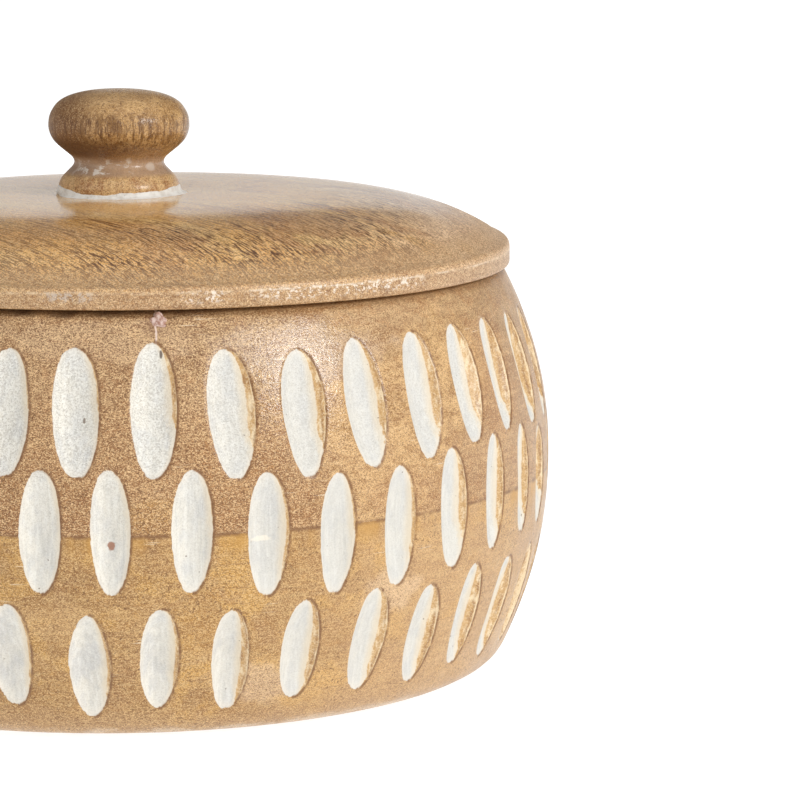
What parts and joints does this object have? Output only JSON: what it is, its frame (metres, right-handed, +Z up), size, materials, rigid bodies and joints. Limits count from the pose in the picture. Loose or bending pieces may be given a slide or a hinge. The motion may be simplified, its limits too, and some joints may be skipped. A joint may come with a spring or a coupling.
{
  "type": "carved lidded box",
  "caption": "Round turned wooden box with a lift-off domed lid and knob, carved round its bulging wall with rows of upright gouge cuts.",
  "frame": {"origin": "middle of the flat foot, on the surface the box stands on", "axes": "+Z up through the knob; -Y is the front seen in the picture; +X to its right"},
  "size_m": [0.1998, 0.1999, 0.1325],
  "materials": {
    "lower_wood": "golden mango wood, satin, with white paint left in the gouge cuts",
    "upper_wood": "brown mango wood, satin, with white paint left in the gouge cuts",
    "lid_wood": "brown mango wood with dark pores, satin lacquer",
    "knob_wood": "darker mango wood with dark pores, satin lacquer",
    "screw_steel": "zinc plated"
  },
  "bodies": {
    "bowl": {"lower_block": "lower_wood", "upper_block": "upper_wood"},
    "lid": {"lid": "lid_wood", "knob": "knob_wood", "knob_screw": "screw_steel"}
  },
  "joints": [
    {"name": "lid_lift", "type": "slide", "parent": "bowl", "child": "lid", "axis": [0, 0, 1], "range_m": [0, 0.15]}
  ]
}
